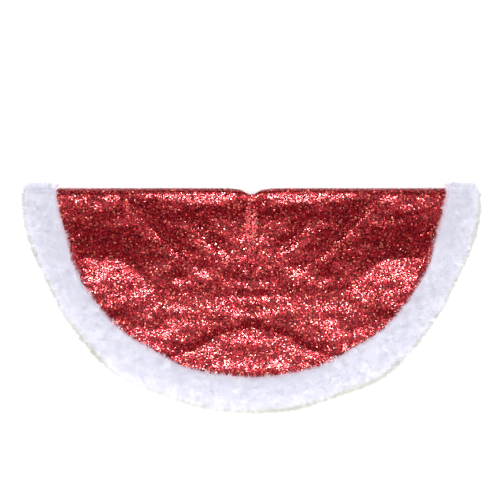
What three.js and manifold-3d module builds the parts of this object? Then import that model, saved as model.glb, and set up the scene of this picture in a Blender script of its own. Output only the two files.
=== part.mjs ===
// A round table-top tree skirt, folded in half and lying flat, sequins outwards and linings together.
// Millimetres, +Z up. The fold runs along X on the +Y side, and the half disc lies towards -Y.
// The half that lies on top is one body. The half below is slit from the trunk hole to the rim, so it is
// two quarters, and each quarter turns about the fold to open the skirt.
import * as THREE from "three";
import { mergeVertices } from "three/addons/utils/BufferGeometryUtils.js";
import Module from "manifold-3d";

const wasm = await Module();
wasm.setup();

// Driving dimensions of the opened skirt
const SKIRT_RADIUS = 254;
const BORDER_WIDTH = 39;
const HOLE_RADIUS = 12.5;
const SLIT_GAP = 1.5;

// Layers, each given by its distance from the plane between the two halves
const LINING_INNER = 1.7;
const LINING_OUTER = 2.4;
const CLOTH_INNER = 2.7;
const CLOTH_OUTER = 4.2;
const PLUSH_OUTER = 12;
const FOLD_CLEARANCE = 0.15;

// Edges
const LINING_SETBACK = 2;
const SEAM_ALLOWANCE = 1.2;
const PLUSH_INNER_ROUND = 5;
const PLUSH_OUTER_ROUND = 8;

// Sewing thread
const THREAD_RADIUS = 0.3;
const THREAD_SIDES = 6;
const THREAD_CHORD_ERROR = 0.13;
const THREAD_LIFT = 0.6;
const HEM_SETBACK = 4.5;
const HOLE_HEM = 2.5;
const SLIT_HEM = 3;

// Hook and loop pads along the slit
const PAD_COUNT = 3;
const PAD_LENGTH = 20;
const PAD_WIDTH = 10;
const PAD_CORNER = 2;
const HOOK_THICKNESS = 0.9;
const LOOP_THICKNESS = 1.4;
const PAD_SETBACK = 5;
const PAD_GAP = 0.3;
const FIRST_PAD = 60;
const PAD_PITCH = 65;

// Fineness of the curved surfaces
const TURN_SEGMENTS = 120;
const FOLD_SEGMENTS = 6;
const ROUND_SEGMENTS = 5;
const SLIT_STEPS = 2;

// The cloth turns round the fold in a half circle, and the turn takes up some of its length
const FOLD_ARC = (Math.PI / 2) * CLOTH_OUTER;
const MID_Z = PLUSH_OUTER;
const CENTRE_Y = (SKIRT_RADIUS + FOLD_CLEARANCE) / 2;
const FOLD_Y = CENTRE_Y - FOLD_ARC;
const PLUSH_FOLD_Y = CENTRE_Y - FOLD_CLEARANCE - PLUSH_OUTER;
const BORDER_RADIUS = SKIRT_RADIUS - BORDER_WIDTH;
const FAR_Y = CENTRE_Y - SKIRT_RADIUS - 1;

const sequinMaterial = new THREE.MeshStandardMaterial({ color: 0xa93f44, roughness: 0.3, metalness: 0.7 });
const liningMaterial = new THREE.MeshStandardMaterial({ color: 0x8e1f2a, roughness: 0.8 });
const plushMaterial = new THREE.MeshStandardMaterial({ color: 0xe9e9fa, roughness: 1 });
const threadMaterial = new THREE.MeshStandardMaterial({ color: 0xb03a44, roughness: 0.7 });
const hookMaterial = new THREE.MeshStandardMaterial({ color: 0xd8d8dc, roughness: 0.6 });
const loopMaterial = new THREE.MeshStandardMaterial({ color: 0xdedee2, roughness: 0.95 });

// Which stretch of X each part of the skirt covers, in its own unturned frame
const WHOLE = { from: -SKIRT_RADIUS - 1, to: SKIRT_RADIUS + 1 };
const RIGHT = { from: SLIT_GAP / 2, to: SKIRT_RADIUS + 1 };
const LEFT = { from: -SKIRT_RADIUS - 1, to: -SLIT_GAP / 2 };

function toSolid(geometry) {
  const plain = geometry.clone();
  plain.deleteAttribute("normal");
  plain.deleteAttribute("uv");
  const merged = mergeVertices(plain, 1e-4);
  const vertProperties = new Float32Array(merged.attributes.position.array);
  const triVerts = new Uint32Array(merged.index.array);
  return new wasm.Manifold(new wasm.Mesh({ numProp: 3, vertProperties, triVerts }));
}

function toGeometry(solid) {
  const mesh = solid.getMesh();
  const geometry = new THREE.BufferGeometry();
  geometry.setAttribute("position", new THREE.BufferAttribute(mesh.vertProperties, 3));
  geometry.setIndex(new THREE.BufferAttribute(mesh.triVerts, 1));
  const faceted = geometry.toNonIndexed();
  faceted.computeVertexNormals();
  return faceted;
}

// Points of an arc about (centre, 0), from one angle to another
function arcPoints(centre, radius, from, to) {
  const points = [];
  for (let i = 0; i <= FOLD_SEGMENTS; i++) {
    const angle = from + ((to - from) * i) / FOLD_SEGMENTS;
    points.push(new THREE.Vector2(centre + radius * Math.cos(angle), radius * Math.sin(angle)));
  }
  return points;
}

// The section across the fold of a layer that is flat and then turns a quarter circle down to the fold
function layerSection(inner, outer, outerCentre) {
  const innerEnd = Math.asin(FOLD_CLEARANCE / inner);
  const outerEnd = Math.asin(FOLD_CLEARANCE / outer);
  return new THREE.Shape([
    new THREE.Vector2(FAR_Y, inner),
    ...arcPoints(FOLD_Y, inner, Math.PI / 2, innerEnd),
    ...arcPoints(outerCentre, outer, outerEnd, Math.PI / 2),
    new THREE.Vector2(FAR_Y, outer),
  ]);
}

// A section drawn in (y, z), extruded along X over the span
function extrudeAlongX(section, span) {
  const geometry = new THREE.ExtrudeGeometry(section, { depth: span.to - span.from, bevelEnabled: false });
  const basis = new THREE.Matrix4().makeBasis(
    new THREE.Vector3(0, 1, 0),
    new THREE.Vector3(0, 0, 1),
    new THREE.Vector3(1, 0, 0),
  );
  geometry.applyMatrix4(basis);
  geometry.translate(span.from, 0, 0);
  return toSolid(geometry);
}

// A body of revolution about the skirt's centre, from a profile of (radius, z)
function revolve(profile) {
  const points = profile.map(([radius, z]) => new THREE.Vector2(radius, z));
  const geometry = new THREE.LatheGeometry(points, TURN_SEGMENTS);
  geometry.rotateX(Math.PI / 2);
  geometry.translate(0, CENTRE_Y, 0);
  return toSolid(geometry);
}

function disc(radius) {
  const low = -1;
  const high = PLUSH_OUTER + 1;
  return revolve([[0, low], [radius, low], [radius, high], [0, high]]);
}

// The ring that the plush border fills, with its top edges rounded
function plushRing() {
  const profile = [[BORDER_RADIUS, -1], [SKIRT_RADIUS, -1]];
  for (let i = 0; i <= ROUND_SEGMENTS; i++) {
    const angle = ((Math.PI / 2) * i) / ROUND_SEGMENTS;
    const radius = SKIRT_RADIUS - PLUSH_OUTER_ROUND * (1 - Math.cos(angle));
    profile.push([radius, PLUSH_OUTER - PLUSH_OUTER_ROUND * (1 - Math.sin(angle))]);
  }
  for (let i = 0; i <= ROUND_SEGMENTS; i++) {
    const angle = ((Math.PI / 2) * i) / ROUND_SEGMENTS;
    const radius = BORDER_RADIUS + PLUSH_INNER_ROUND * (1 - Math.sin(angle));
    profile.push([radius, PLUSH_OUTER - PLUSH_INNER_ROUND * (1 - Math.cos(angle))]);
  }
  profile.push([BORDER_RADIUS, -1]);
  return revolve(profile);
}

function sequinPanel(span) {
  const sheet = extrudeAlongX(layerSection(CLOTH_INNER, CLOTH_OUTER, FOLD_Y), span);
  const cut = sheet.intersect(disc(BORDER_RADIUS - SEAM_ALLOWANCE)).subtract(disc(HOLE_RADIUS));
  return toGeometry(cut);
}

function lining(span) {
  const sheet = extrudeAlongX(layerSection(LINING_INNER, LINING_OUTER, FOLD_Y), span);
  const cut = sheet.intersect(disc(SKIRT_RADIUS - LINING_SETBACK)).subtract(disc(HOLE_RADIUS));
  return toGeometry(cut);
}

function plushBorder(span) {
  const band = extrudeAlongX(layerSection(CLOTH_INNER, PLUSH_OUTER, PLUSH_FOLD_Y), span);
  return toGeometry(band.intersect(plushRing()));
}

function threadAlong(points, steps) {
  const section = new THREE.Shape();
  section.absarc(0, 0, THREAD_RADIUS, 0, 2 * Math.PI);
  return new THREE.ExtrudeGeometry(section, {
    extrudePath: new THREE.CatmullRomCurve3(points),
    steps,
    curveSegments: THREAD_SIDES / 2,
  });
}

// A seam round the skirt at one radius, from where the cloth leaves the fold to the slit
function seamArc(radius, distance, span) {
  const first = Math.asin(FOLD_ARC / radius);
  const stop = (x) => Math.acos(THREE.MathUtils.clamp(x / radius, -1, 1));
  const from = Math.max(first, stop(span.to - SLIT_HEM));
  const to = Math.min(Math.PI - first, stop(span.from + SLIT_HEM));
  const steps = Math.ceil((to - from) / (2 * Math.acos(1 - THREAD_CHORD_ERROR / radius)));
  const points = [];
  for (let i = 0; i <= steps; i++) {
    const angle = from + ((to - from) * i) / steps;
    const y = CENTRE_Y - radius * Math.sin(angle);
    points.push(new THREE.Vector3(radius * Math.cos(angle), y, distance));
  }
  return threadAlong(points, steps);
}

function slitSeam(side) {
  const x = side * (SLIT_GAP / 2 + SLIT_HEM);
  const distance = LINING_INNER - THREAD_LIFT;
  const near = new THREE.Vector3(x, CENTRE_Y - HOLE_RADIUS - 2 * HOLE_HEM, distance);
  const far = new THREE.Vector3(x, CENTRE_Y - SKIRT_RADIUS + HEM_SETBACK + HOLE_HEM, distance);
  return threadAlong([near, far], SLIT_STEPS);
}

// A pad with rounded corners, its long side along the slit, its lower face at the distance given
function pad(side, number, distance, thickness) {
  const shape = new THREE.Shape();
  const halfWidth = PAD_WIDTH / 2;
  const halfLength = PAD_LENGTH / 2;
  shape.absarc(halfWidth - PAD_CORNER, halfLength - PAD_CORNER, PAD_CORNER, 0, Math.PI / 2);
  shape.absarc(-halfWidth + PAD_CORNER, halfLength - PAD_CORNER, PAD_CORNER, Math.PI / 2, Math.PI);
  shape.absarc(-halfWidth + PAD_CORNER, -halfLength + PAD_CORNER, PAD_CORNER, Math.PI, 1.5 * Math.PI);
  shape.absarc(halfWidth - PAD_CORNER, -halfLength + PAD_CORNER, PAD_CORNER, 1.5 * Math.PI, 2 * Math.PI);
  const geometry = new THREE.ExtrudeGeometry(shape, {
    depth: thickness,
    bevelEnabled: false,
    curveSegments: ROUND_SEGMENTS,
  });
  const x = side * (SLIT_GAP / 2 + PAD_SETBACK + halfWidth);
  geometry.translate(x, CENTRE_Y - FIRST_PAD - PAD_PITCH * number, distance);
  return geometry;
}

function addPiece(group, name, geometry, material) {
  const mesh = new THREE.Mesh(geometry, material);
  mesh.name = name;
  group.add(mesh);
}

// The cloth, lining, plush and seams that every part of the skirt has
function addLayers(group, prefix, span) {
  const liningSide = LINING_INNER - THREAD_LIFT;
  const borderSeam = BORDER_RADIUS - SEAM_ALLOWANCE / 2;
  addPiece(group, prefix + "_sequin_panel", sequinPanel(span), sequinMaterial);
  addPiece(group, prefix + "_lining", lining(span), liningMaterial);
  addPiece(group, prefix + "_plush_border", plushBorder(span), plushMaterial);
  const border = seamArc(borderSeam, (CLOTH_INNER + CLOTH_OUTER) / 2, span);
  addPiece(group, prefix + "_border_seam", border, threadMaterial);
  const hem = seamArc(SKIRT_RADIUS - HEM_SETBACK, liningSide, span);
  addPiece(group, prefix + "_hem_seam", hem, threadMaterial);
  const hole = seamArc(HOLE_RADIUS + HOLE_HEM, liningSide, span);
  addPiece(group, prefix + "_trunk_hole_seam", hole, threadMaterial);
}

// The half on top, sequins up
function upperHalf() {
  const group = new THREE.Group();
  group.position.z = MID_Z;
  addLayers(group, "upper", WHOLE);
  return group;
}

// A quarter of the half below. It is drawn sequins up, then turned over about Y, which swaps its side.
function lowerQuarter(prefix, span, side) {
  const group = new THREE.Group();
  group.position.z = MID_Z;
  group.rotation.y = Math.PI;
  addLayers(group, prefix, span);
  addPiece(group, prefix + "_slit_seam", slitSeam(side), threadMaterial);
  return group;
}

// Loop pads lie on the sequins beside one edge of the slit
function addLoopPads(group, side) {
  for (let i = 0; i < PAD_COUNT; i++) {
    const geometry = pad(side, i, CLOTH_OUTER + PAD_GAP, LOOP_THICKNESS);
    addPiece(group, "loop_pad_" + (i + 1), geometry, loopMaterial);
  }
}

// Hook pads lie on the lining beside the other edge, so they meet the loops when that edge laps over
function addHookPads(group, side) {
  for (let i = 0; i < PAD_COUNT; i++) {
    const geometry = pad(side, i, LINING_INNER - PAD_GAP - HOOK_THICKNESS, HOOK_THICKNESS);
    addPiece(group, "hook_pad_" + (i + 1), geometry, hookMaterial);
  }
}

const lowerLeft = lowerQuarter("lower_left", RIGHT, 1);
addLoopPads(lowerLeft, 1);
const lowerRight = lowerQuarter("lower_right", LEFT, -1);
addHookPads(lowerRight, -1);

const skirt = new THREE.Group();
skirt.add(upperHalf(), lowerLeft, lowerRight);

export default skirt;
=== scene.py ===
"""A round tree skirt, folded in half, lying flat: sequin cloth outside, lining inside, white plush border.

Everything is made from the skirt's flat pattern. A pattern point is (x, v): x runs along the fold, and v is
the distance from the fold, positive on the upper half and negative on the lower half. A third number, the
rise, is how far the point stands from the plane between the halves. place() turns the three into a position.
"""
import math

import bpy
import numpy as np
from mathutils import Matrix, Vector


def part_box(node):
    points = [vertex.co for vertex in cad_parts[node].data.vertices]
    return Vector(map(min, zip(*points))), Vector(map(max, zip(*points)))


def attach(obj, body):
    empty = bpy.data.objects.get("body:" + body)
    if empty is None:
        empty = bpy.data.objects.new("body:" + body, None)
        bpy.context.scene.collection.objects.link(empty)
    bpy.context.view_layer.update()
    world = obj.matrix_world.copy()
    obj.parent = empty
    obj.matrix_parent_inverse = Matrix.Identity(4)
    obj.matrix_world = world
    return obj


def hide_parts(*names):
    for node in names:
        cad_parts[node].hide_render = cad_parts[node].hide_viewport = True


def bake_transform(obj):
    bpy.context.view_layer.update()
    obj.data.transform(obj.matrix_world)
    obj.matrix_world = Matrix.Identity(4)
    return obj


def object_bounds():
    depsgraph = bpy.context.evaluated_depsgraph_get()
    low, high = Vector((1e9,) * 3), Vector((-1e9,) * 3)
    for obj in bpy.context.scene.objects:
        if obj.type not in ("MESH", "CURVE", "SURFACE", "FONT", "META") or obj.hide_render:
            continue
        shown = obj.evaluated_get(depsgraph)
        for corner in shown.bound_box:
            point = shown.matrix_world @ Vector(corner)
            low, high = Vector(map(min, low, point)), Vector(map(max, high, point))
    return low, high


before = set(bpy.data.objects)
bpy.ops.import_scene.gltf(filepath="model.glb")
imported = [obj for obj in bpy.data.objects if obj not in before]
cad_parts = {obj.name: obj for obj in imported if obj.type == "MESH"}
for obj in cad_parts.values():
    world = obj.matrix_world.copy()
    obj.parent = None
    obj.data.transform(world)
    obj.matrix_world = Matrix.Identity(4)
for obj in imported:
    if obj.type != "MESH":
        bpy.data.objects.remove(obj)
cad_bounds = [[float(c) for c in corner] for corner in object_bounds()]

# ------ sizes, in metres, from the frame
MM = 0.001
LOW, HIGH = (np.array(corner) for corner in cad_bounds)
RADIUS = (HIGH[0] - LOW[0]) / 2
MID_Z = (HIGH[2] + LOW[2]) / 2
FOLD_EDGE_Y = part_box("upper_sequin_panel")[1][1]
CLOTH_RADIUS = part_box("upper_sequin_panel")[1][0]
PLUSH_INNER = CLOTH_RADIUS + 1.2 * MM
PLUSH_WIDTH = RADIUS - PLUSH_INNER
PLUSH_MIDDLE = RADIUS - PLUSH_WIDTH / 2

# The cloth turns round the fold on this radius, and its quarter turn takes this much of the pattern
FOLD_RISE = 4.5 * MM
FOLD_LENGTH = math.pi / 2 * FOLD_RISE
TURN_Y = FOLD_EDGE_Y - FOLD_RISE

CLOTH_THICKNESS = 0.7 * MM
LINING_DROP = 0.85 * MM
LINING_THICKNESS = 0.4 * MM
BORDER_LINING_RISE = 1.7 * MM
SLIT_HALF_GAP = 0.4 * MM
HOLE_HALF_WIDTH = 12.0 * MM
HOLE_DEPTH = 7.8 * MM

UPPER, LOWER_LEFT, LOWER_RIGHT = "upper_half", "lower_left_quarter", "lower_right_quarter"


# ------ camera
CAMERA_DISTANCE = 1.3
VIEW_WIDTH = 0.552
SENSOR_MM = 36
CAMERA_X = -0.0014
CAMERA_Y = FOLD_EDGE_Y - 0.0677

camera_data = bpy.data.cameras.new("camera")
camera_data.sensor_width = SENSOR_MM
camera_data.lens = SENSOR_MM * CAMERA_DISTANCE / VIEW_WIDTH
camera_data.clip_end = 20
camera = bpy.data.objects.new("camera", camera_data)
camera.location = (CAMERA_X, CAMERA_Y, MID_Z + CAMERA_DISTANCE)
bpy.context.collection.objects.link(camera)
bpy.context.scene.camera = camera


# ------ the pattern laid out in space
def place(x, v, rise):
    """Positions of pattern points. Within FOLD_LENGTH of the fold they go round it, then they lie flat."""
    x, v, rise = np.broadcast_arrays(np.asarray(x, float), v, rise)
    angle = np.clip(v / FOLD_LENGTH, -1, 1) * math.pi / 2
    beyond = np.maximum(np.abs(v) - FOLD_LENGTH, 0)
    y = TURN_Y + rise * np.cos(angle) - beyond
    return np.stack([x, y, MID_Z + rise * np.sin(angle)], -1)


def wave(x, v, length, seed):
    """Smooth uneven waves of about this length, from -1 to 1, the same for x and -x."""
    draw = np.random.default_rng(seed)
    total = np.zeros(np.broadcast(x, v).shape)
    count = 7
    for _ in range(count):
        heading = draw.uniform(0, math.pi)
        step = 2 * math.pi / (length * draw.uniform(0.7, 1.5))
        phase = draw.uniform(0, 2 * math.pi)
        along = np.abs(x) * math.cos(heading) + v * math.sin(heading)
        total = total + np.sin(step * along + phase)
    return total / math.sqrt(count)


def ridge(x, v, crest, height, fold_side, rim_side):
    """A crease that rises to height along the crest line and falls off over a half width on each side.

    Round its ends the half width passes smoothly from one side's to the other's.
    """
    best = np.full(x.shape, np.inf)
    side = np.zeros(x.shape)
    along = np.zeros(x.shape)
    lengths = [math.dist(a, b) for a, b in zip(crest, crest[1:])]
    done = 0.0
    for (ax, av), (bx, bv), length in zip(crest, crest[1:], lengths):
        dx, dv = (bx - ax) / length, (bv - av) / length
        t = np.clip((x - ax) * dx + (v - av) * dv, 0, length)
        off = np.hypot(x - ax - t * dx, v - av - t * dv)
        nearer = off < best
        best = np.where(nearer, off, best)
        turned = ((x - ax) * dv - (v - av) * dx) / np.maximum(off, 1e-9)
        side = np.where(nearer, turned, side)
        along = np.where(nearer, done + t, along)
        done += length
    share = 0.5 + 0.5 * side * math.copysign(1, crest[-1][0] - crest[0][0])
    width = rim_side + (fold_side - rim_side) * share
    fade = 0.35 + 0.65 * np.sin(math.pi * np.clip(along / done, 0, 1))
    return height * fade * np.exp(-((best / width) ** 1.3))


# Each crease is mirrored left to right: crest as (distance from the middle, distance from the fold) in mm,
# then its height and its half widths towards the fold and towards the rim
UPPER_CREASES = (
    (((250, 78), (146, 80), (122, 96), (106, 116)), 10.5, 28, 32),
    (((142, 10), (100, 47), (58, 90)), 6.0, 17, 5),
    (((70, 35), (48, 55), (28, 74)), 4.0, 8, 6),
    (((7, 16), (7, 50), (6, 92)), 2.0, 4, 8),
    (((0, 12), (0, 50), (0.5, 92)), -2.6, 2.2, 2.2),
    (((52, 33), (24, 38), (0, 36)), 4.2, 9, 32),
    (((48, 123), (24, 121), (0, 120)), 2.6, 24, 14),
    (((96, 104), (78, 101), (62, 106)), 2.2, 14, 24),
    (((93, 104), (92, 130), (94, 160)), 2.2, 9, 20),
    (((108, 194), (64, 181), (34, 163), (0, 156), (-30, 162)), 2.9, 6, 26),
    (((184, 147), (146, 155), (112, 156)), 3.4, 18, 40),
    (((20, 188), (0, 192)), 1.2, 7, 12),
    (((70, 196), (46, 188)), 1.2, 7, 10),
)
LOWER_CREASES = (
    (((190, 70), (120, 90), (60, 80)), 2.5, 20, 22),
    (((150, 130), (90, 150), (30, 150)), 2.2, 18, 20),
)
LEVEL_RISE = 3.7 * MM
LEAST_RISE = 3.3 * MM
PUFF_HEIGHT = 2.5 * MM
PUFF_START = 2.0 * MM
PUFF_LENGTH = 5.0 * MM
PUFF_SPREAD = 3.0 * MM
PUFF_WIDE_FROM, PUFF_WIDE_OVER = 110 * MM, 60 * MM
PUFF_DIP, PUFF_DIP_WIDTH = 0.6, 25 * MM
CREASE_START = 14 * MM
EDGE_WIDTH, EDGE_CALM = 8 * MM, 0.2
# The creases run into their mirror images over about this distance from the middle
MIRROR_ROUND = 1.5 * MM
NOTCH_SAG = 2.4 * MM
NOTCH_WIDTH = 18 * MM
NOTCH_REACH = 30 * MM


def cloth_rise(x, v):
    """How far the sequin cloth stands from the plane between the halves.

    It leaves the fold at FOLD_RISE, puffs up beside it, and then follows the creases and small waves.
    """
    upper = v > 0
    v = np.abs(v)
    across = np.sqrt(x**2 + MIRROR_ROUND**2)
    past = np.maximum(v - FOLD_LENGTH, 0)
    creases = np.zeros(np.broadcast(across, v).shape)
    lower = np.zeros(creases.shape)
    across, v = np.broadcast_to(across, creases.shape), np.broadcast_to(v, creases.shape)
    for total, rows in ((creases, UPPER_CREASES), (lower, LOWER_CREASES)):
        for crest, height, fold_side, rim_side in rows:
            line = [(a * MM, b * MM) for a, b in crest]
            total += ridge(across, v, line, height * MM, fold_side * MM, rim_side * MM)
    creases = creases + 0.35 * MM * wave(x, v, 34 * MM, 3) + 0.22 * MM * wave(x, v, 17 * MM, 8)
    lower = lower + 0.5 * MM * wave(x, v, 40 * MM, 5)
    own = np.where(upper, creases, lower)
    start = np.clip(past / CREASE_START, 0, 1)
    start = start * start * (3 - 2 * start)
    spread = np.clip((across - PUFF_WIDE_FROM) / PUFF_WIDE_OVER, 0, 1)
    t = np.maximum(v - PUFF_START, 0) / (PUFF_LENGTH + PUFF_SPREAD * spread)
    puff = np.where(upper, PUFF_HEIGHT, PUFF_HEIGHT / 2) * t**2 * np.exp(2 * (1 - t))
    puff = puff * (1 - PUFF_DIP * np.exp(-((x / PUFF_DIP_WIDTH) ** 2)))
    rise = FOLD_RISE + (LEVEL_RISE - FOLD_RISE) * start + own * start + puff
    edge = np.clip((CLOTH_RADIUS - np.hypot(x, v)) / EDGE_WIDTH, 0, 1)
    rise = FOLD_RISE + (rise - FOLD_RISE) * (1 - EDGE_CALM + EDGE_CALM * edge)
    return np.maximum(rise, LEAST_RISE)


def notch_sag(x, v):
    """How far the cloth beside the trunk hole has drawn back from the line of the fold."""
    near_fold = np.clip(1 - np.abs(v) / NOTCH_REACH, 0, 1)
    return NOTCH_SAG * np.exp(-(np.abs(x) / NOTCH_WIDTH) ** 2.4) * near_fold


def hole_reach(x):
    """How far the trunk hole reaches from the fold at x. The hole is an oval with drawn-out ends."""
    inside = np.clip(1 - (np.abs(x) / HOLE_HALF_WIDTH) ** 1.5, 0, 1)
    return HOLE_DEPTH * inside**0.75


def hole_half_width(v):
    """The trunk hole's half width at a distance v from the fold."""
    inside = np.clip(1 - (np.abs(v) / HOLE_DEPTH) ** (4 / 3), 0, 1)
    return HOLE_HALF_WIDTH * inside ** (2 / 3)


def cloth_place(x, v, offset=0.0):
    """Positions on the sequin cloth."""
    points = place(x, v, cloth_rise(x, v) + offset)
    points[..., 1] -= notch_sag(x, v)
    return points


def surface_normals(x, v, offset=0.0):
    """Outward normals of the sequin cloth."""
    step = 0.6 * MM
    along = cloth_place(x + step, v, offset) - cloth_place(x - step, v, offset)
    down = cloth_place(x, v + step, offset) - cloth_place(x, v - step, offset)
    normal = np.cross(down, along)
    return normal / np.linalg.norm(normal, axis=-1, keepdims=True)


# ------ the outline of the border
def bulge(turn, centre, width, height):
    """A smooth bulge of this height in mm, centred this many degrees round from the fold."""
    return height * MM * np.exp(-(((np.degrees(turn) - centre) / width) ** 2))


# The border's outer edge ripples: the first crest and the pitch in degrees, and the height
RIM_CREST, RIM_PITCH, RIM_RIPPLE = 7, 42, 2.6 * MM
RIM_INSET = 0.6 * MM
# The lower half lies this far inside the upper one, so it is hidden from above
LOWER_INSET = 2.2 * MM
INNER_INSET = 3.4 * MM


def rim_radius(angle, upper=True):
    """The plush's outer edge. The cloth is rumpled, so it isn't quite round."""
    turn = np.minimum(angle, math.pi - angle)
    ripple = np.cos((turn - math.radians(RIM_CREST)) * 360 / RIM_PITCH)
    fade = 1 - np.clip((np.degrees(turn) - 60) / 25, 0, 1) * 1.4
    swell = bulge(turn, 57, 9, 3.6) + bulge(turn, 32, 5, 1.8)
    size = RADIUS - RIM_INSET + RIM_RIPPLE * ripple * fade + swell
    return size if upper else size - LOWER_INSET


def inner_radius(angle):
    """The plush's inner edge."""
    turn = np.minimum(angle, math.pi - angle)
    inward = bulge(turn, 15, 6.5, 3.2) + bulge(turn, 58, 7, 3.2) + bulge(turn, 82, 15, 3.4)
    return PLUSH_INNER - INNER_INSET + bulge(turn, 0, 4, 1.5) - inward


# ------ meshes
def make(name, points, faces, material, pattern=None, smooth=True):
    """A mesh object from points (n, 3) and faces (m, 3 or 4), with the pattern kept as a UV map."""
    faces = np.asarray(faces, np.int32)
    mesh = bpy.data.meshes.new(name)
    count, corners = faces.shape
    mesh.vertices.add(len(points))
    mesh.vertices.foreach_set("co", np.asarray(points, np.float32).ravel())
    mesh.loops.add(count * corners)
    mesh.loops.foreach_set("vertex_index", faces.ravel())
    mesh.polygons.add(count)
    mesh.polygons.foreach_set("loop_start", np.arange(0, count * corners, corners, dtype=np.int32))
    mesh.polygons.foreach_set("use_smooth", np.broadcast_to(smooth, count).copy())
    if pattern is not None:
        layer = mesh.uv_layers.new(name="Pattern")
        layer.data.foreach_set("uv", np.asarray(pattern, np.float32)[faces.ravel()].ravel())
    mesh.update()
    mesh.validate()
    mesh.materials.append(material)
    thing = bpy.data.objects.new(name, mesh)
    bpy.context.collection.objects.link(thing)
    return thing


def grid_quads(rows, columns, first=0):
    index = first + np.arange(rows * columns).reshape(rows, columns)
    quads = np.stack([index[:-1, :-1], index[1:, :-1], index[1:, 1:], index[:-1, 1:]], -1)
    return quads.reshape(-1, 4)


def shell(name, outer, inner, material, pattern, flip):
    """A closed sheet between two (rows, columns, 3) grids of points. Its narrow edges are flat shaded."""
    rows, columns, _ = outer.shape
    count = rows * columns
    top = grid_quads(rows, columns)
    bottom = grid_quads(rows, columns, count)[:, ::-1]
    index = np.arange(count).reshape(rows, columns)
    loop = np.concatenate([index[0, :-1], index[:-1, -1], index[-1, :0:-1], index[:0:-1, 0]])
    after = np.roll(loop, -1)
    rim = np.stack([loop, after, after + count, loop + count], -1)
    faces = np.concatenate([top, bottom, rim])
    if flip:
        faces = faces[:, ::-1]
    smooth = np.arange(len(faces)) < len(top) + len(bottom)
    points = np.concatenate([outer.reshape(-1, 3), inner.reshape(-1, 3)])
    flat = pattern.reshape(-1, 2)
    return make(name, points, faces, material, np.concatenate([flat, flat]), smooth)


def sides(part):
    """The sign of v and the range of x for a part of the skirt."""
    if part == UPPER:
        return 1, -1, 1
    return (-1, -1, 0) if part == LOWER_LEFT else (-1, 0, 1)


# ------ materials
def new_material(name):
    material = bpy.data.materials.new(name)
    material.use_nodes = True
    tree = material.node_tree
    return material, tree, tree.nodes["Principled BSDF"]


def link(tree, source, output, target, socket):
    tree.links.new(source.outputs[output], target.inputs[socket])


def ramp(tree, stops):
    node = tree.nodes.new("ShaderNodeValToRGB")
    elements = node.color_ramp.elements
    while len(elements) < len(stops):
        elements.new(0.5)
    for element, (position, colour) in zip(elements, stops):
        element.position = position
        element.color = (*colour, 1)
    return node


def noise(tree, source, scale, detail=2):
    node = tree.nodes.new("ShaderNodeTexNoise")
    node.inputs["Scale"].default_value = scale
    node.inputs["Detail"].default_value = detail
    link(tree, source, 0, node, "Vector")
    return node


def bump(tree, height, output, strength, distance, shader):
    node = tree.nodes.new("ShaderNodeBump")
    node.inputs["Strength"].default_value = strength
    node.inputs["Distance"].default_value = distance
    link(tree, height, output, node, "Height")
    link(tree, node, "Normal", shader, "Normal")


def pattern_coordinates(tree):
    node = tree.nodes.new("ShaderNodeUVMap")
    node.uv_map = "Pattern"
    return node


def object_coordinates(tree):
    """Texture coordinates fixed to the object, as the first output of a node."""
    coordinates = tree.nodes.new("ShaderNodeTexCoord")
    mapping = tree.nodes.new("ShaderNodeMapping")
    link(tree, coordinates, "Object", mapping, "Vector")
    return mapping


def sequin_material():
    """Metal-coated plastic discs. Each one has its own shade of red and its own roughness."""
    material, tree, shader = new_material("sequins")
    shader.inputs["Metallic"].default_value = 0.68
    shader.inputs["Coat Weight"].default_value = 0.4
    shader.inputs["Coat Roughness"].default_value = 0.04
    geometry = tree.nodes.new("ShaderNodeNewGeometry")
    shades = ramp(tree, [
        (0.0, (0.06, 0.0, 0.001)),
        (0.2, (0.18, 0.001, 0.004)),
        (0.6, (0.34, 0.002, 0.009)),
        (0.92, (0.5, 0.02, 0.03)),
        (1.0, (0.95, 0.26, 0.16)),
    ])
    link(tree, geometry, "Random Per Island", shades, "Fac")
    link(tree, shades, "Color", shader, "Base Color")
    rough = tree.nodes.new("ShaderNodeMapRange")
    rough.inputs["To Min"].default_value = 0.06
    rough.inputs["To Max"].default_value = 0.16
    link(tree, geometry, "Random Per Island", rough, "Value")
    link(tree, rough, "Result", shader, "Roughness")
    return material


# The wave texture goes through this many radians per unit of length at a scale of 1
WAVE_RADIANS = 20


def weave_material(name, dark, light, threads_per_metre, roughness):
    """Plain woven or knitted cloth: two crossing sets of threads, with slubs."""
    material, tree, shader = new_material(name)
    shader.inputs["Roughness"].default_value = roughness
    shader.inputs["Sheen Weight"].default_value = 0.25
    pattern = pattern_coordinates(tree)
    weaves = []
    for direction in ("X", "Y"):
        threads = tree.nodes.new("ShaderNodeTexWave")
        threads.bands_direction = direction
        threads.inputs["Scale"].default_value = threads_per_metre * 2 * math.pi / WAVE_RADIANS
        threads.inputs["Distortion"].default_value = 0.4
        link(tree, pattern, "UV", threads, "Vector")
        weaves.append(threads)
    crossing = tree.nodes.new("ShaderNodeMath")
    crossing.operation = "MULTIPLY"
    link(tree, weaves[0], "Fac", crossing, 0)
    link(tree, weaves[1], "Fac", crossing, 1)
    shades = ramp(tree, [(0.0, dark), (0.7, light)])
    slub = noise(tree, pattern, 90, 4)
    mixed = tree.nodes.new("ShaderNodeMath")
    mixed.operation = "MULTIPLY_ADD"
    mixed.inputs[1].default_value = 0.5
    link(tree, crossing, 0, mixed, 0)
    link(tree, slub, "Fac", mixed, 2)
    link(tree, mixed, 0, shades, "Fac")
    link(tree, shades, "Color", shader, "Base Color")
    bump(tree, crossing, 0, 0.5, 0.0002, shader)
    return material


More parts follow.
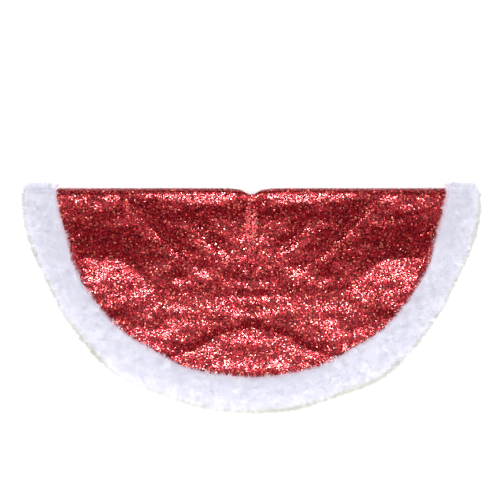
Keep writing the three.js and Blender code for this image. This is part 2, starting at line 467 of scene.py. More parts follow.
PLUSH_TRANSLUCENCY = 0.45
# The plush's emission is a painted glow that stands in for light scattered among its fibres
PLUSH_PAINTED_GLOW = 0.07
# A stronger painted glow for the pile round the fold, which lifts strands that lie in the shade of the flat
# part
FOLD_PAINTED_GLOW = 0.32
# A warm grey painted shade for the plush's rim, where the pile turns down away from the light
RIM_SHADE_COLOUR = (0.62, 0.62, 0.56, 1)
# A pink tint for the plush's inner edge: a painted reflection of the red cloth beside it
INNER_RED_REFLECTION = (1.0, 0.86, 0.89)


def colour_output(node):
    return 2 if node.bl_idname == "ShaderNodeMix" else 0


def blend_colour(tree, mode, amount, first, second):
    """Two colour outputs put together. Amount is a number or a node, and second a node or a colour."""
    mix = tree.nodes.new("ShaderNodeMix")
    mix.data_type = "RGBA"
    mix.blend_type = mode
    if isinstance(amount, float):
        mix.inputs[0].default_value = amount
    else:
        link(tree, amount, 0, mix, 0)
    link(tree, first, colour_output(first), mix, 6)
    if isinstance(second, tuple):
        mix.inputs[7].default_value = second
    else:
        link(tree, second, colour_output(second), mix, 7)
    return mix


def plush_material(name, dark, light, strands, painted_glow=PLUSH_PAINTED_GLOW):
    """White acrylic pile, a little violet, that lets some light through.

    The pattern map holds how far a point is across the border and how far along its strand. The roots are
    painted darker than the tips, as painted shade deep in the pile, each tuft and strand is slightly
    different, the rim is a warm grey painted shade where the pile turns down away from the light, and the
    inner edge has a painted reflection of the red cloth beside it. A faint emission is painted glow for
    light that the fibres scatter among themselves.
    """
    material, tree, shader = new_material(name)
    shader.inputs["Roughness"].default_value = 0.9
    shader.inputs["Sheen Weight"].default_value = 0.3
    shader.inputs["Sheen Roughness"].default_value = 0.5
    # Painted glow: this emission stands in for light scattered within the pile
    shader.inputs["Emission Color"].default_value = (0.86, 0.86, 1, 1)
    shader.inputs["Emission Strength"].default_value = painted_glow
    place_on = object_coordinates(tree)
    tufts = noise(tree, place_on, 120, 3)
    if strands:
        grain = tree.nodes.new("ShaderNodeNewGeometry")
        grain_output = "Random Per Island"
    else:
        grain = noise(tree, place_on, 1500, 2)
        grain_output = "Fac"
    both = tree.nodes.new("ShaderNodeMath")
    both.operation = "MULTIPLY"
    link(tree, tufts, "Fac", both, 0)
    link(tree, grain, grain_output, both, 1)
    shades = ramp(tree, [(0.08, dark), (0.36, light)])
    link(tree, both, 0, shades, "Fac")

    where = tree.nodes.new("ShaderNodeSeparateXYZ")
    link(tree, pattern_coordinates(tree), "UV", where, "Vector")
    # Painted shade: each strand is darker towards its root, deep in the pile
    root = ramp(tree, [(0.0, (0.88, 0.88, 0.9)), (0.6, (1, 1, 1))])
    link(tree, where, "Y", root, "Fac")
    pale = blend_colour(tree, "MULTIPLY", 1.0, shades, root)
    # Painted reflection: the inner edge is tinted pink by the red cloth beside it
    edge = ramp(tree, [(0.045, INNER_RED_REFLECTION), (0.085, (1, 1, 1))])
    link(tree, where, "X", edge, "Fac")
    pale = blend_colour(tree, "MULTIPLY", 1.0, pale, edge)
    patches = noise(tree, place_on, 22, 2)
    uneven = tree.nodes.new("ShaderNodeMath")
    uneven.operation = "MULTIPLY_ADD"
    uneven.inputs[1].default_value = 0.3
    link(tree, patches, "Fac", uneven, 0)
    link(tree, where, "X", uneven, 2)
    # Where the painted rim shade goes: the outermost part of the border, with an uneven edge
    rim = tree.nodes.new("ShaderNodeMapRange")
    rim.inputs["From Min"].default_value = 1.0
    rim.inputs["From Max"].default_value = 1.16
    link(tree, uneven, 0, rim, "Value")
    colour = blend_colour(tree, "MIX", rim, pale, RIM_SHADE_COLOUR)
    link(tree, colour, 2, shader, "Base Color")
    if not strands:
        bump(tree, grain, "Fac", 0.25, 0.0004, shader)
    through = tree.nodes.new("ShaderNodeBsdfTranslucent")
    link(tree, colour, 2, through, "Color")
    mix = tree.nodes.new("ShaderNodeMixShader")
    mix.inputs[0].default_value = PLUSH_TRANSLUCENCY
    link(tree, shader, 0, mix, 1)
    link(tree, through, 0, mix, 2)
    link(tree, mix, 0, tree.nodes["Material Output"], "Surface")
    return material


def thread_material():
    """Twisted polyester thread."""
    material, tree, shader = new_material("thread")
    shader.inputs["Roughness"].default_value = 0.55
    place_on = object_coordinates(tree)
    twist = tree.nodes.new("ShaderNodeTexWave")
    twist.bands_direction = "DIAGONAL"
    twist.inputs["Scale"].default_value = 900
    link(tree, place_on, 0, twist, "Vector")
    shades = ramp(tree, [(0.0, (0.16, 0.01, 0.02)), (1.0, (0.42, 0.05, 0.07))])
    link(tree, twist, "Fac", shades, "Fac")
    link(tree, shades, "Color", shader, "Base Color")
    bump(tree, twist, "Fac", 0.6, 0.0001, shader)
    return material


def tape_material(name, dark, light, scale, roughness):
    """White nylon tape."""
    material, tree, shader = new_material(name)
    shader.inputs["Roughness"].default_value = roughness
    place_on = object_coordinates(tree)
    grain = noise(tree, place_on, scale, 3)
    shades = ramp(tree, [(0.3, dark), (0.7, light)])
    link(tree, grain, "Fac", shades, "Fac")
    link(tree, shades, "Color", shader, "Base Color")
    bump(tree, grain, "Fac", 0.5, 0.0002, shader)
    return material


SEQUINS = sequin_material()
BACKING = weave_material("sequin_backing", (0.12, 0.002, 0.004), (0.32, 0.01, 0.018), 900, 0.75)
LINING = weave_material("lining", (0.12, 0.006, 0.01), (0.24, 0.018, 0.026), 1400, 0.6)
PLUSH_DARK = (0.87, 0.87, 0.95)
PLUSH_LIGHT = (0.96, 0.96, 0.99)
PLUSH = plush_material("plush_pile", PLUSH_DARK, PLUSH_LIGHT, True)
# The pile round the fold has its own material, with more painted glow against its shade
FOLD_PLUSH_PAINTED_GLOW = plush_material("plush_pile_at_fold_painted_glow", PLUSH_DARK, PLUSH_LIGHT, True, FOLD_PAINTED_GLOW)
UNDERCOAT = plush_material("plush_undercoat", PLUSH_DARK, PLUSH_LIGHT, False)
THREAD = thread_material()
HOOK_TAPE = tape_material("hook_tape", (0.62, 0.62, 0.64), (0.8, 0.8, 0.82), 700, 0.45)
LOOP_TAPE = tape_material("loop_tape", (0.7, 0.7, 0.72), (0.88, 0.88, 0.9), 1200, 0.95)


# ------ sheets of cloth
def column_ends(x, radius):
    """From which v to which a column of a half disc runs, for a radius that depends on the angle."""
    start = np.maximum(FOLD_LENGTH, hole_reach(x))
    end = np.sqrt(np.maximum(radius(np.full(x.shape, math.pi / 2)) ** 2 - x**2, 0))
    for _ in range(12):
        edge = radius(np.arctan2(end, x))
        end = np.sqrt(np.maximum(edge**2 - x**2, 0))
    return start, np.maximum(end, start + 0.05 * MM)


def half_disc(part, radius, columns, rows):
    """Pattern points (rows, columns, 2) that cover a part of the skirt beyond the fold."""
    sign, first, last = sides(part)
    widest = float(radius(np.array([0.03]))[0]) * math.cos(0.032)
    turn = np.linspace(first, last, columns) * math.pi / 2
    x = widest * np.sin(turn)
    if first == 0:
        x = SLIT_HALF_GAP + x * (1 - SLIT_HALF_GAP / widest)
    if last == 0:
        x = -SLIT_HALF_GAP + x * (1 - SLIT_HALF_GAP / widest)
    start, end = column_ends(x, radius)
    t = np.linspace(0, 1, rows)[:, None]
    v = start + (end - start) * t
    return np.stack([np.broadcast_to(x, v.shape), sign * v], -1)


def fold_band(left, reach, columns, rows):
    """Pattern points of the strip that goes round the fold, on one side of the trunk hole."""
    v = np.linspace(-FOLD_LENGTH, FOLD_LENGTH, rows)[:, None]
    hole = hole_half_width(v)
    t = np.linspace(0, 1, columns)
    x = hole + (reach - hole) * t
    v = np.broadcast_to(v, x.shape)
    return np.stack([-x if left else x, v], -1)


CLOTH_TUCK = 2.4 * MM
LINING_INSET = 4.0 * MM


def cloth_edge(angle):
    """The sequin cloth's edge, tucked under the plush."""
    return inner_radius(angle) + CLOTH_TUCK


def lining_edge(angle):
    return rim_radius(angle, upper=False) - LINING_INSET


def lining_rise(x, v):
    """The lining lies under the sequin cloth, and under the plush it lies flat."""
    flat = np.clip((np.hypot(x, v) - CLOTH_RADIUS + 10 * MM) / (10 * MM), 0, 1)
    flat = flat * (np.abs(v) > FOLD_LENGTH * 0.999) * np.clip((np.abs(v) - FOLD_LENGTH) / (9 * MM), 0, 1)
    under = cloth_rise(x, v) - LINING_DROP
    return under + (BORDER_LINING_RISE - under) * flat


def lining_place(x, v, offset=0.0):
    points = place(x, v, lining_rise(x, v) + offset)
    points[..., 1] -= notch_sag(x, v)
    return points


def sheet_piece(name, pattern, at, thickness, material, flip):
    x, v = pattern[..., 0], pattern[..., 1]
    return shell(name, at(x, v), at(x, v, -thickness), material, pattern, flip)


def declare_sheet(pattern, take_up=1.0):
    """Measures the sheet's width and length and does nothing more with them. take_up is the sheet's own
    length over the pattern's, for a strip that turns inside the cloth.
    """
    width, length = (float(np.ptp(pattern[..., i])) for i in (0, 1))
    length *= take_up


# ------ sequins
SEQUIN_PITCH = 1.7 * MM
SEQUIN_RADIUS = 1.02 * MM
SEQUIN_CUP = 0.08 * MM
SEQUIN_LIFT = 0.4 * MM
SEQUIN_TILT = 0.07
SEQUIN_LOOSE_TILT = 0.22
SEQUIN_LOOSE = 0.12
SEQUIN_JITTER = 0.22
SEQUIN_SIDES = 6


def sequin_centres(draw, keep):
    """Jittered rows of pattern points, where keep(x, v) says so."""
    reach = CLOTH_RADIUS + 2 * MM
    row_pitch = SEQUIN_PITCH * math.sqrt(3) / 2
    rows = int(2 * reach / row_pitch) + 2
    columns = int(2 * reach / SEQUIN_PITCH) + 2
    row, column = np.meshgrid(np.arange(rows), np.arange(columns), indexing="ij")
    x = (column + 0.5 * (row % 2)) * SEQUIN_PITCH - reach
    v = row * row_pitch - reach
    jitter = draw.uniform(-SEQUIN_JITTER, SEQUIN_JITTER, (2, *x.shape)) * SEQUIN_PITCH
    x, v = (x + jitter[0]).ravel(), (v + jitter[1]).ravel()
    kept = keep(x, v)
    return x[kept], v[kept]


def outside_hole(x, v):
    return (np.abs(v) > 1.04 * hole_reach(x)) | (np.abs(x) > HOLE_HALF_WIDTH)


def sequins(name, x, v, draw):
    """Six-sided cupped discs, each tilted its own way on the cloth."""
    centre = cloth_place(x, v)
    normal = surface_normals(x, v)
    loose = draw.uniform(0, 1, len(x)) < SEQUIN_LOOSE
    tilt = np.where(loose, SEQUIN_LOOSE_TILT, SEQUIN_TILT)[:, None]
    normal = normal + draw.normal(0, 1, normal.shape) * tilt
    normal /= np.linalg.norm(normal, axis=1, keepdims=True)
    helper = np.tile([1.0, 0.0, 0.0], (len(x), 1))
    across = np.cross(normal, helper)
    across /= np.linalg.norm(across, axis=1, keepdims=True)
    other = np.cross(normal, across)
    lift = SEQUIN_LIFT + draw.uniform(0, 0.35, len(x)) * MM
    size = SEQUIN_RADIUS * draw.uniform(0.9, 1.08, len(x))
    spin = draw.uniform(0, 2 * math.pi / SEQUIN_SIDES, len(x))
    middle = centre + normal * (lift - SEQUIN_CUP)[:, None]
    corners = []
    for i in range(SEQUIN_SIDES):
        angle = spin + i * 2 * math.pi / SEQUIN_SIDES
        reach = across * np.cos(angle)[:, None] + other * np.sin(angle)[:, None]
        corners.append(centre + normal * lift[:, None] + reach * size[:, None])
    points = np.stack([middle, *corners], 1).reshape(-1, 3)
    base = np.arange(len(x))[:, None, None] * (SEQUIN_SIDES + 1)
    fan = np.array([[0, 1 + i, 1 + (i + 1) % SEQUIN_SIDES] for i in range(SEQUIN_SIDES)])
    faces = (base + fan).reshape(-1, 3)
    piece = make(name, points, faces, SEQUINS, smooth=False)
    return piece


def panel_sequins(part, name, seed):
    sign, first, last = sides(part)
    draw = np.random.default_rng(seed)
    towards = first + last

    def keep(x, v):
        angle = np.arctan2(np.abs(v), x)
        inside = np.hypot(x, v) < cloth_edge(angle) - 0.8 * MM
        own_side = (towards == 0) | (x * towards > SLIT_HALF_GAP + 0.6 * MM)
        return inside & own_side & (v * sign > FOLD_LENGTH) & outside_hole(x, v)

    return sequins(name, *sequin_centres(draw, keep), draw)


def fold_sequins(left, name, seed):
    draw = np.random.default_rng(seed)

    def keep(x, v):
        inside = (np.abs(x) < CLOTH_RADIUS) & (np.abs(v) <= FOLD_LENGTH)
        return inside & ((x < 0) if left else (x > 0)) & outside_hole(x, v)

    return sequins(name, *sequin_centres(draw, keep), draw)


# ------ plush
# The section of the undercoat: across from 0 at the inner edge to 1 at the rim, and its rise in mm
UNDERCOAT_SECTION = (
    (0.0, 3.1), (0.01, 5.0), (0.05, 6.8), (0.14, 7.9), (0.3, 8.3), (0.5, 8.4), (0.7, 8.2),
    (0.85, 7.5), (0.95, 5.9), (1.0, 3.6), (0.995, 1.6), (0.97, 0.9),
)
PILE_LENGTH = 5.2 * MM
PILE_WIDTH = 0.22 * MM
TUFT = 4.5 * MM
TUFT_KINDS = 65521
# By how far across the border they grow: how much strands tilt outwards, and how much each tuft leans
STRAND_TILT = ((0, 0.06, 0.2, 0.75, 0.93, 1.0), (-1.5, -0.9, -0.15, 0.2, 1.1, 2.6))
TUFT_LEAN = ((0, 0.12, 0.75, 0.95), (0.55, 0.22, 0.26, 0.75))
RIM_FRINGE = 1.45
RIM_PILE = 3.4 * MM
INNER_PILE = 1.6 * MM
STRANDS_PER_M2 = 3.4e6
# The pile's surface is longer than the pattern where it goes round the fold, so more strands cover it
FOLD_DENSITY = 2
BACKING_RISE = 2.7 * MM
BAND_STEPS = 300
SECTION_STEPS = 30
# How far along the section the pile starts, just above the sequin cloth
PILE_START = 0.04
# The wrinkles of the cloth lift the plush over this width, and are sampled at these angles round the skirt
LIFT_WIDTH = 30 * MM
LIFT_ANGLES = np.linspace(0, math.pi, 500)


def undercoat_profile(t):
    """Across and rise of the undercoat's section at t from 0 to 1 along it, by arc length."""
    section = np.array(UNDERCOAT_SECTION)
    steps = np.hypot(np.diff(section[:, 0]) * PLUSH_WIDTH, np.diff(section[:, 1]) * MM)
    along = np.concatenate([[0], np.cumsum(steps)]) / steps.sum()
    return np.interp(t, along, section[:, 0]), np.interp(t, along, section[:, 1]) * MM


def band_pattern(turn, across, upper):
    """Pattern x and |v| in the border: turn from 0 to 1 round the half disc, across from 0 to 1."""
    angle = turn * math.pi
    inner, outer = inner_radius(angle) + INNER_PILE, rim_radius(angle, upper) - RIM_PILE
    radius = inner + (outer - inner) * across
    first = np.arcsin(FOLD_LENGTH / radius)
    angle = first + (math.pi - 2 * first) * turn
    return radius * np.cos(angle), radius * np.sin(angle)


def wrinkle_lift(x, v):
    """How much the wrinkles of the sequin cloth lift the plush that is sewn to its edge."""
    reach = CLOTH_RADIUS - 3 * MM
    side = np.where(np.asarray(v) > 0, 1, -1)
    edges = [cloth_rise(reach * np.cos(LIFT_ANGLES), sign * reach * np.sin(LIFT_ANGLES)) for sign in (-1, 1)]
    angle = np.arctan2(np.abs(v), x)
    below, above = (np.interp(angle, LIFT_ANGLES, edge - FOLD_RISE) for edge in edges)
    near = np.clip(1 - (np.hypot(x, v) - PLUSH_INNER) / LIFT_WIDTH, 0, 1)
    return np.maximum(np.where(side > 0, above, below), 0) * near**2


def lumps(x, v):
    return 0.7 * MM * wave(x, v, 16 * MM, 21) + 0.25 * MM * wave(x, v, 7 * MM, 22)


def undercoat_place(x, v, rise, grow=0.0):
    shaped = lumps(x, v) + wrinkle_lift(x, v)
    return place(x, v, rise + shaped * np.clip((rise - 3 * MM) / (4 * MM), 0, 1) + grow)


def above_lining(x, v, across, rise):
    """The undercoat's rise, with its inner edge kept above the lining."""
    return np.where(across < 0.5, np.maximum(rise, lining_rise(x, v) + 0.6 * MM), rise)


def backing_place(x, v, rise):
    """Positions on the back of the undercoat, which lies on the lining."""
    on_lining = np.maximum(BACKING_RISE, lining_rise(x, v) + 0.1 * MM)
    return place(x, v, np.minimum(rise - 0.3 * MM, on_lining))


def turn_range(part):
    """The span of turn that a part covers. Turn 0 is at +x."""
    slit = SLIT_HALF_GAP / RADIUS / math.pi
    return {UPPER: (0, 1), LOWER_LEFT: (0.5 + slit, 1), LOWER_RIGHT: (0, 0.5 - slit)}[part]


def undercoat_shell(name, x, v, across, rise, flip):
    """A closed band of undercoat, from its pattern points and its section."""
    rise = above_lining(x, v, across, rise)
    outer = undercoat_place(x, v, rise)
    inner = backing_place(x, v, rise)
    spots = np.stack(np.broadcast_arrays(across, 0 * x), -1)
    piece = shell(name, outer, inner, UNDERCOAT, spots, flip)
    return piece


def undercoat(part, name):
    """The dense base of the plush on a part of the skirt."""
    sign = sides(part)[0]
    first, last = turn_range(part)
    turn = np.linspace(first, last, int(BAND_STEPS * (last - first)))[:, None]
    across, rise = undercoat_profile(np.linspace(0, 1, SECTION_STEPS))
    x, v = band_pattern(turn, across, part == UPPER)
    return undercoat_shell(name, x, sign * v, across, rise, sign > 0)


def fold_strip_x(v, across, left):
    """Pattern x in the strip of border that goes round the fold. Its rim joins those of the two halves."""
    start = np.array(0.0)
    inner = inner_radius(start) + INNER_PILE
    upper_share = np.clip((v / FOLD_LENGTH + 1) / 2, 0, 1)
    rim = rim_radius(start, False) + (rim_radius(start) - rim_radius(start, False)) * upper_share
    radius = inner + (rim - RIM_PILE - inner) * across
    return np.sqrt(radius**2 - v**2) * (-1 if left else 1)


def fold_undercoat(left, name):
    across, rise = undercoat_profile(np.linspace(0, 1, SECTION_STEPS))
    v = np.linspace(-FOLD_LENGTH, FOLD_LENGTH, 25)[:, None]
    x = fold_strip_x(v, across, left)
    return undercoat_shell(name, x, np.broadcast_to(v, x.shape), across, rise, left)


def pile(name, x, v, across, rise, seed, material=PLUSH):
    """Strands that grow out of the undercoat. They gather into tufts, and splay at both edges."""
    draw = np.random.default_rng(seed)
    count = len(x)
    root = undercoat_place(x, v, rise)
    step = 0.4 * MM
    upright = undercoat_place(x, v, rise, step) - root
    upright /= np.linalg.norm(upright, axis=1, keepdims=True)
    radial = np.stack([x, -np.abs(v), np.zeros(count)], 1)
    radial /= np.linalg.norm(radial, axis=1, keepdims=True)
    radial[:, 1] *= np.abs(v) > FOLD_LENGTH
    tilt = np.interp(across, *STRAND_TILT)
    low = rise < 5 * MM
    tilt = np.where(low & (across > 0.5), 3.2, tilt)
    cell = np.stack([np.floor(x / TUFT), np.floor(v / TUFT)], 1).astype(int)
    key = (cell[:, 0] * 7919 + cell[:, 1] * 104729) % TUFT_KINDS
    table = draw.normal(0, 1, (TUFT_KINDS, 4))
    clump = np.interp(across, *TUFT_LEAN)[:, None]
    lean = table[key][:, :3] * clump + draw.normal(0, 0.26, (count, 3))
    direction = upright + radial * tilt[:, None] + lean
    direction /= np.linalg.norm(direction, axis=1, keepdims=True)
    length = PILE_LENGTH * (1 + 0.14 * table[key][:, 3]) * draw.uniform(0.65, 1.2, count)
    fringe = ((across > 0.8) | (across < 0.02)) & (draw.uniform(0, 1, count) < 0.25)
    length = np.where(fringe, length * RIM_FRINGE, length)
    start = (upright + direction) / 2
    middle = root + start * (length * 0.5)[:, None]
    tip = root + start * (length * 0.45)[:, None] + direction * (length * 0.6)[:, None]
    tip[:, 2] -= 0.5 * MM * np.clip(length / PILE_LENGTH - 0.9, 0, 2) * np.sign(v)
    floor = LOW[2] + 0.25 * MM
    for point in (middle, tip):
        point[:, 2] = np.maximum(point[:, 2], floor)
    side = np.cross(direction, draw.normal(0, 1, (count, 3)))
    side /= np.linalg.norm(side, axis=1, keepdims=True)
    facing = np.cross(side, direction)
    side *= np.sign((facing * upright).sum(1, keepdims=True))
    half = (PILE_WIDTH / 2 * draw.uniform(0.7, 1.3, count) * np.where(fringe, 1.4, 1))[:, None]
    points = np.stack([root - side * half, root + side * half, middle - side * half * 0.8,
                       middle + side * half * 0.8, tip], 1).reshape(-1, 3)
    base = np.arange(count)[:, None, None] * 5
    faces = (base + np.array([[0, 1, 3], [0, 3, 2], [2, 3, 4]])).reshape(-1, 3)
    along = np.array([0.0, 0.0, 0.5, 0.5, 1.0])
    spots = np.stack(np.broadcast_arrays(across[:, None], along), -1).reshape(-1, 2)
    piece = make(name, points, faces, material, spots)
    soft = upright + 0.5 * np.cross(side, direction) + 0.15 * direction
    soft[:, 2] += np.sign(v) * np.interp(across, [0, 0.15], [1.2, 0])
    soft[:, 2] += np.sign(v) * 1.6 * np.clip(1 - np.abs(v) / FOLD_LENGTH, 0, 1)
    soft /= np.linalg.norm(soft, axis=1, keepdims=True)
    piece.data.normals_split_custom_set_from_vertices(np.repeat(soft, 5, axis=0))
    return piece


def band_pile(name, part, first, last, seed):
    """The pile over a span of the border."""
    draw = np.random.default_rng(seed)
    sign = sides(part)[0]
    count = int(STRANDS_PER_M2 * (last - first) * math.pi * PLUSH_MIDDLE * PLUSH_WIDTH)
    turn = draw.uniform(first, last, count)
    across, rise = undercoat_profile(draw.uniform(PILE_START, 1, count))
    x, v = band_pattern(turn, across, part == UPPER)
    return pile(name, x, sign * v, across, rise, seed + 1)


def fold_pile(left, name, seed):
    draw = np.random.default_rng(seed)
    count = int(STRANDS_PER_M2 * FOLD_DENSITY * 2 * FOLD_LENGTH * PLUSH_WIDTH)
    across, rise = undercoat_profile(draw.uniform(PILE_START, 1, count))
    across, rise = across[rise > FOLD_RISE], rise[rise > FOLD_RISE]
    v = draw.uniform(-FOLD_LENGTH, FOLD_LENGTH, len(rise)) + draw.normal(0, 2 * MM, len(rise))
    x = fold_strip_x(v, across, left)
    return pile(name, x, v, across, rise, seed + 1, FOLD_PLUSH_PAINTED_GLOW)


# ------ stitches
STITCH_PITCH = 4.2 * MM
STITCH_LENGTH = 3.0 * MM
STITCH_RADIUS = 0.3 * MM
STITCH_SIDES = 6
BORDER_SEAM_INSET = 1.1 * MM
HEM_INSET = 2.5 * MM
SLIT_SEAM_X = 3.75 * MM
STITCH_RINGS = (0.0, 0.06, 0.25, 0.5, 0.75, 0.94, 1.0)


def stitches(name, path, seam_node, outward):
    """A row of stitches along a path of points. Each dives into the cloth at both ends."""
    steps = np.linalg.norm(np.diff(path, axis=0), axis=1)
    along = np.concatenate([[0], np.cumsum(steps)])
    starts = np.arange(0.5 * STITCH_PITCH, along[-1] - STITCH_LENGTH, STITCH_PITCH)
    points, faces = [], []
    turn = (np.arange(STITCH_SIDES) * 2 * math.pi / STITCH_SIDES)[:, None]
    outward = np.array(outward)

    def at(distance):
        return np.array([np.interp(distance, along, path[:, i]) for i in range(3)])

    for start in starts:
        rings = []
        for t in STITCH_RINGS:
            here = at(start + STITCH_LENGTH * t)
            ahead = at(start + STITCH_LENGTH * t + 0.2 * MM)
            forward = (ahead - here) / max(np.linalg.norm(ahead - here), 1e-9)
            side = np.cross(forward, outward)
            side /= np.linalg.norm(side)
            lift = STITCH_RADIUS * (1.6 * math.sin(math.pi * t) - 0.7)
            radius = STITCH_RADIUS * (0.35 if t in (0.0, 1.0) else 1.0)
            centre = here + outward * lift
            rings.append(centre + radius * (np.cos(turn) * side + np.sin(turn) * outward))
        base = len(points) * len(STITCH_RINGS) * STITCH_SIDES
        points.append(np.concatenate(rings))
        for r in range(len(STITCH_RINGS) - 1):
            for s in range(STITCH_SIDES):
                after = (s + 1) % STITCH_SIDES
                low = base + r * STITCH_SIDES
                high = low + STITCH_SIDES
                faces.append((low + s, low + after, high + after, high + s))
        top = base + (len(STITCH_RINGS) - 1) * STITCH_SIDES
        faces.append((base + 3, base + 2, base + 1, base))
        faces.append((base + 5, base + 4, base + 3, base))
        faces.append((top, top + 1, top + 2, top + 3))
        faces.append((top, top + 3, top + 4, top + 5))
    piece = make(name, np.concatenate(points), faces, THREAD)
    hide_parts(seam_node)
    return piece


def arc_angles(radius, part):
    """Angles round an arc of this radius that stops short of the fold and the slit."""
    first, last = sides(part)[1:]
    start = math.asin(FOLD_LENGTH / radius)
    slit = 3 * MM / radius
    low = start if last == 1 else math.pi / 2 + slit
    high = math.pi - start if first == -1 else math.pi / 2 - slit
    return np.linspace(low, high, max(int(radius / MM), 24))


def seam_rows(part, prefix):
    """The border seam, the hem seam at the rim and the seam round the trunk hole."""
    sign = sides(part)[0]

    def sew(name, seam, path, outward):
        return stitches(f"{prefix}_{name}_stitches", path, f"{prefix}_{seam}_seam", (0, 0, outward))

    angle = arc_angles(CLOTH_RADIUS - 0.5 * MM, part)
    radius = cloth_edge(angle) - BORDER_SEAM_INSET
    path = cloth_place(radius * np.cos(angle), sign * radius * np.sin(angle), 0.1 * MM)
    border = sew("border", "border", path, sign)
    angle = arc_angles(RADIUS - 8 * MM, part)
    radius = lining_edge(angle) - HEM_INSET
    path = lining_place(radius * np.cos(angle), sign * radius * np.sin(angle), -LINING_THICKNESS)
    hem = sew("hem", "hem", path, -sign)
    angle = arc_angles(HOLE_HALF_WIDTH + HEM_INSET, part)
    v = np.maximum((HOLE_DEPTH + HEM_INSET) * np.sin(angle), FOLD_LENGTH * 1.02)
    path = lining_place((HOLE_HALF_WIDTH + HEM_INSET) * np.cos(angle), sign * v, -LINING_THICKNESS)
    return [border, hem, sew("hole", "trunk_hole", path, -sign)]


def slit_row(part, prefix):
    side = -1 if part == LOWER_LEFT else 1
    v = -np.linspace(HOLE_DEPTH + 6 * MM, RADIUS - 14 * MM, 200)
    path = lining_place(np.full(v.shape, side * SLIT_SEAM_X), v, -LINING_THICKNESS)
    return stitches(prefix + "_slit_stitches", path, prefix + "_slit_seam", (0, 0, 1))


# ------ hook and loop pads
def fastener_pad(node, hooks):
    """A tape pad with soft corners and a stitched-down rim, covered in hooks or in a brushed loop pile."""
    low, high = (np.array(c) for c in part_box(node))
    middle, half = (low + high) / 2, (high - low) / 2
    part = LOWER_RIGHT if hooks else LOWER_LEFT
    v_middle = TURN_Y + FOLD_LENGTH - middle[1]
    s = np.linspace(-1, 1, 41)[:, None]
    t = np.linspace(-1, 1, 21)[None, :]
    corner = 0.14
    squeeze = 1 - corner * np.clip((np.abs(s) - 0.8) / 0.2, 0, 1) ** 2 * np.ones_like(t)
    x = middle[0] + half[0] * t * squeeze
    v = -(v_middle + half[1] * s * np.ones_like(t))
    rim = np.minimum((1 - np.abs(s)) * half[1], (1 - np.abs(t)) * half[0])
    thickness = 0.25 * MM + 0.35 * MM * np.clip(rim / (0.6 * MM), 0, 1)
    if hooks:
        base = lining_rise(x, v) - LINING_THICKNESS
        outer = place(x, v, base - thickness)
        inner = place(x, v, base - 0.05 * MM)
    else:
        base = cloth_rise(x, v) + SEQUIN_LIFT + 0.9 * MM
        outer = place(x, v, base + thickness)
        inner = place(x, v, base)
    pattern = np.stack([x, v], -1)
    tape = HOOK_TAPE if hooks else LOOP_TAPE
    piece = shell(node + "_tape", outer, inner, tape, pattern, hooks)
    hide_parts(node)
    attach(piece, part)
    bristles(node, x, v, base, hooks, tape, part)


def bristles(node, x, v, base, hooks, tape, part):
    """The hooks in rows, or the loops in a tangle, on a pad."""
    draw = np.random.default_rng(400 + int(node[-1]) + (10 if hooks else 0))
    pick = (slice(2, -2), slice(2, -2))
    px, pv, pb = (np.broadcast_to(a, x.shape)[pick].ravel() for a in (x, v, base))
    repeats = 1 if hooks else 4
    px, pv, pb = (np.repeat(a, repeats) for a in (px, pv, pb))
    spread = 0.08 if hooks else 0.35
    px = px + draw.uniform(-spread, spread, px.shape) * MM
    pv = pv + draw.uniform(-spread, spread, pv.shape) * MM
    grow = -1 if hooks else 1
    steps = 6
    bend = np.linspace(0, 1.35 * math.pi if hooks else math.pi, steps)
    reach = 0.22 * MM if hooks else 0.3 * MM
    heading = np.zeros(px.shape) if hooks else draw.uniform(0, 2 * math.pi, px.shape)
    thin = 0.07 * MM
    rows = []
    for b in bend:
        away = reach * (1 - math.cos(b))
        up = 0.5 * MM + reach * 1.3 * math.sin(b)
        ax, av = px + away * np.sin(heading), pv + away * np.cos(heading)
        rise = pb + grow * up
        rows.append((place(ax - thin * np.cos(heading), av + thin * np.sin(heading), rise),
                     place(ax + thin * np.cos(heading), av - thin * np.sin(heading), rise)))
    points = np.stack([p for pair in rows for p in pair], 1).reshape(-1, 3)
    base_index = np.arange(len(px))[:, None, None] * steps * 2
    strip = np.array([[2 * i, 2 * i + 1, 2 * i + 3, 2 * i + 2] for i in range(steps - 1)])
    faces = (base_index + strip).reshape(-1, 4)
    piece = make(node + ("_hooks" if hooks else "_loops"), points, faces, tape)
    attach(piece, part)


# ------ the skirt
PARTS = ((UPPER, "upper"), (LOWER_LEFT, "lower_left"), (LOWER_RIGHT, "lower_right"))


def build_part(part, prefix, number):
    sign = sides(part)[0]
    columns, rows = (240, 110) if part == UPPER else (120, 110)

    pattern = half_disc(part, cloth_edge, columns, rows)
    cloth = sheet_piece(prefix + "_cloth", pattern, cloth_place, CLOTH_THICKNESS, BACKING, sign < 0)
    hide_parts(prefix + "_sequin_panel")
    discs = panel_sequins(part, prefix + "_sequins", 100 + number)
    declare_sheet(pattern)

    pattern = half_disc(part, lining_edge, columns, rows)
    inside = sheet_piece(prefix + "_lining_cloth", pattern, lining_place, LINING_THICKNESS, LINING, sign < 0)
    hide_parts(prefix + "_lining")
    declare_sheet(pattern)

    plush = undercoat(part, prefix + "_plush")
    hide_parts(prefix + "_plush_border")
    first, last = turn_range(part)
    spans = 2 if part == UPPER else 1
    cuts = np.linspace(first, last, spans + 1)
    tufts = [band_pile(f"{prefix}_pile_{i + 1}", part, cuts[i], cuts[i + 1], 200 + 10 * number + i)
             for i in range(spans)]

    rows_of_stitches = seam_rows(part, prefix)
    if part != UPPER:
        rows_of_stitches.append(slit_row(part, prefix))
    for piece in (cloth, discs, inside, plush, *tufts, *rows_of_stitches):
        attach(piece, part)


def blend_round_fold(piece):
    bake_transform(piece)


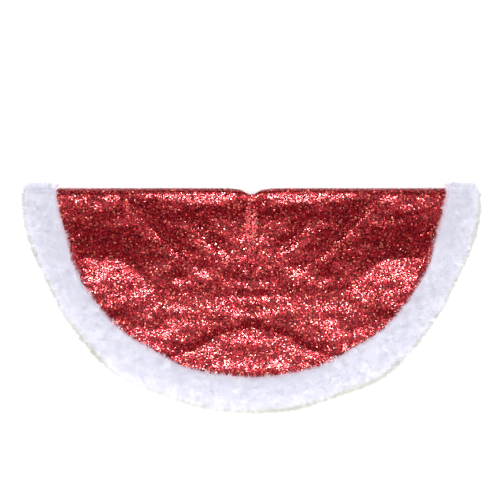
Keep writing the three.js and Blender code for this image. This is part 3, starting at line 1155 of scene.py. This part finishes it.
def build_fold(left, prefix, number):
    """The strips of cloth, lining and plush that go round the fold on one side of the trunk hole."""
    pattern = fold_band(left, CLOTH_RADIUS, 120, 17)
    cloth = sheet_piece(prefix + "_fold_cloth", pattern, cloth_place, CLOTH_THICKNESS, BACKING, left)
    discs = fold_sequins(left, prefix + "_fold_sequins", 300 + number)
    declare_sheet(pattern)
    pattern = fold_band(left, lining_edge(np.array(0.0)), 120, 17)
    inside = sheet_piece(prefix + "_fold_lining", pattern, lining_place, LINING_THICKNESS, LINING, left)
    turned = (FOLD_RISE - LINING_DROP - LINING_THICKNESS / 2) / FOLD_RISE
    declare_sheet(pattern, take_up=turned)
    plush = fold_undercoat(left, prefix + "_fold_plush")
    tufts = fold_pile(left, prefix + "_fold_pile", 350 + 10 * number)
    for piece in (cloth, discs, inside, plush, tufts):
        blend_round_fold(piece)


for index, (body, prefix) in enumerate(PARTS):
    build_part(body, prefix, index)
build_fold(True, "left", 0)
build_fold(False, "right", 1)
for number in (1, 2, 3):
    fastener_pad(f"loop_pad_{number}", False)
    fastener_pad(f"hook_pad_{number}", True)


# ------ floor and light
FLOOR_GREY = 0.62
FLOOR_GLOW = 0.62


def floor_piece():
    size = 12
    corners = [(-size, -size, 0), (size, -size, 0), (size, size, 0), (-size, size, 0)]
    material, tree, shader = new_material("floor")
    shader.inputs["Base Color"].default_value = (FLOOR_GREY, FLOOR_GREY, FLOOR_GREY, 1)
    shader.inputs["Roughness"].default_value = 0.9
    shader.inputs["Emission Color"].default_value = (1, 1, 1, 1)
    shader.inputs["Emission Strength"].default_value = FLOOR_GLOW
    make("floor", np.array(corners) + [0, 0, LOW[2]], [(0, 1, 2, 3)], material)


def softbox(name, location, width, height, power):
    """A white area light aimed at the middle of the frame."""
    data = bpy.data.lights.new(name, "AREA")
    data.shape = "RECTANGLE"
    data.size, data.size_y = width, height
    data.energy = power
    lamp = bpy.data.objects.new(name, data)
    lamp.location = location
    aim = Vector((0, 0, 0)) - Vector(location)
    lamp.rotation_euler = aim.to_track_quat("-Z", "Y").to_euler()
    bpy.context.collection.objects.link(lamp)


floor_piece()
world = bpy.data.worlds.new("studio")
world.use_nodes = True
backdrop = world.node_tree.nodes["Background"]
backdrop.inputs["Color"].default_value = (0.95, 0.96, 1.0, 1)
backdrop.inputs["Strength"].default_value = 0.13
bpy.context.scene.world = world
bpy.context.scene.view_settings.view_transform = "Standard"
softbox("key_box", (0, -0.88, 1.48), 1.0, 0.1, 31)
softbox("front_box", (0, -0.62, 1.75), 1.8, 1.5, 12.6)
softbox("left_box", (-1.7, 0.2, 1.0), 1.2, 1.0, 21)
softbox("right_box", (1.7, 0.2, 1.0), 1.2, 1.0, 21)
softbox("back_box", (0, 2.1, 0.9), 2.0, 0.8, 19)
